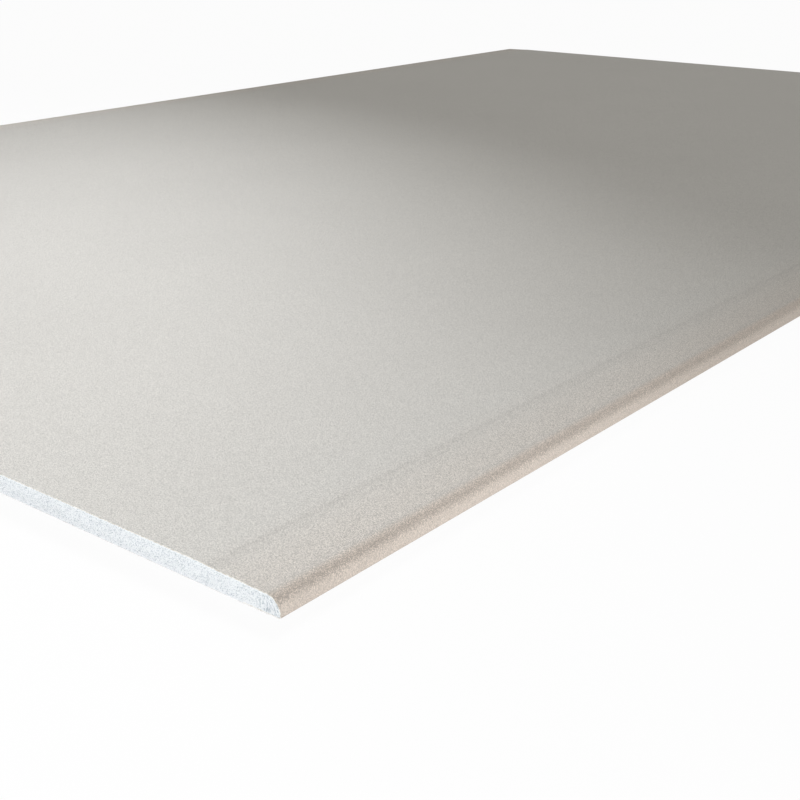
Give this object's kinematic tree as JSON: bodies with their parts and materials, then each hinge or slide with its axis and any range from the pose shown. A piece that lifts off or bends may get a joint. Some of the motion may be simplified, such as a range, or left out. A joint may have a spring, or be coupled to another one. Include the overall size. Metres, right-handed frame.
{
  "type": "drywall sheet",
  "caption": "Flat gypsum drywall sheet in grey paper, with tapered half-round long edges and square-cut ends that show the white core.",
  "frame": {"origin": "middle of the back, on the plane that the sheet lies on", "axes": "+Y along the length, +X across the width, +Z from the back to the face"},
  "size_m": [1.25, 2, 0.0125],
  "materials": {
    "gypsum": "matt, finely porous, bluish white",
    "face_paper": "matt light grey paper with a fine fibre grain",
    "back_paper": "matt grey-brown paper"
  },
  "bodies": {
    "root": {"gypsum_core": "gypsum", "face_paper": "face_paper", "back_paper": "back_paper"}
  },
  "joints": []
}
